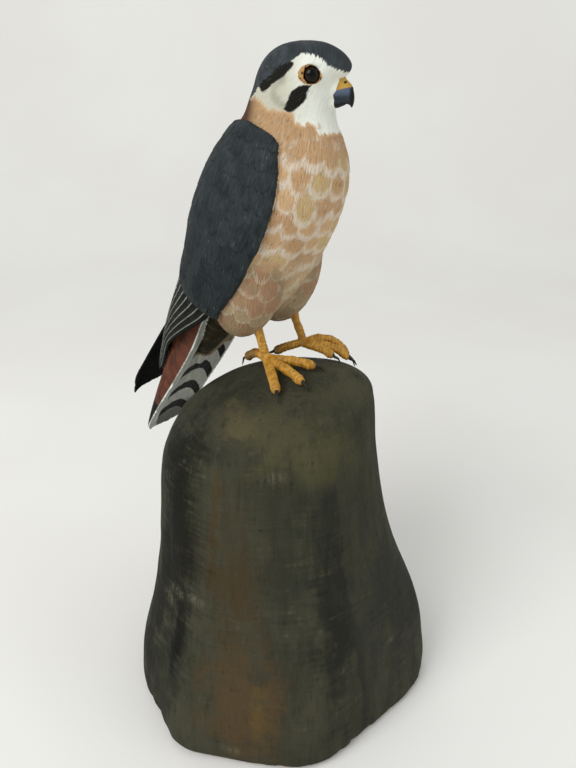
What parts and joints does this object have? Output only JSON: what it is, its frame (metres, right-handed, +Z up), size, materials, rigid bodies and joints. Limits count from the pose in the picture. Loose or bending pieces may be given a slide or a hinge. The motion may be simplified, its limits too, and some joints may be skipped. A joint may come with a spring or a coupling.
{
  "type": "kestrel wood carving",
  "caption": "Life-size carved and painted wooden kestrel perched upright on a tall carved wooden stump that stands by its own weight.",
  "frame": {"origin": "middle of the stump's flat underside, on the surface it stands on", "axes": "+Z up, the bird's breast faces -Y, and its left side is +X"},
  "size_m": [0.1761, 0.1958, 0.3612],
  "materials": {
    "stump_wood": "carved wood painted in mottled olive, brown and charcoal, satin and worn at the rim",
    "bird_wood": "carved feather detail with matt paint: slate crown and wings, white face with black bars, buff breast, barred tail",
    "leg_paint": "yellow paint with a low sheen, black claws",
    "eye_glass": "polished dark brown glass"
  },
  "bodies": {
    "root": {"stump_base": "stump_wood", "kestrel": "bird_wood", "leg_right": "leg_paint", "leg_left": "leg_paint", "eye_right": "eye_glass", "eye_left": "eye_glass"}
  },
  "joints": []
}
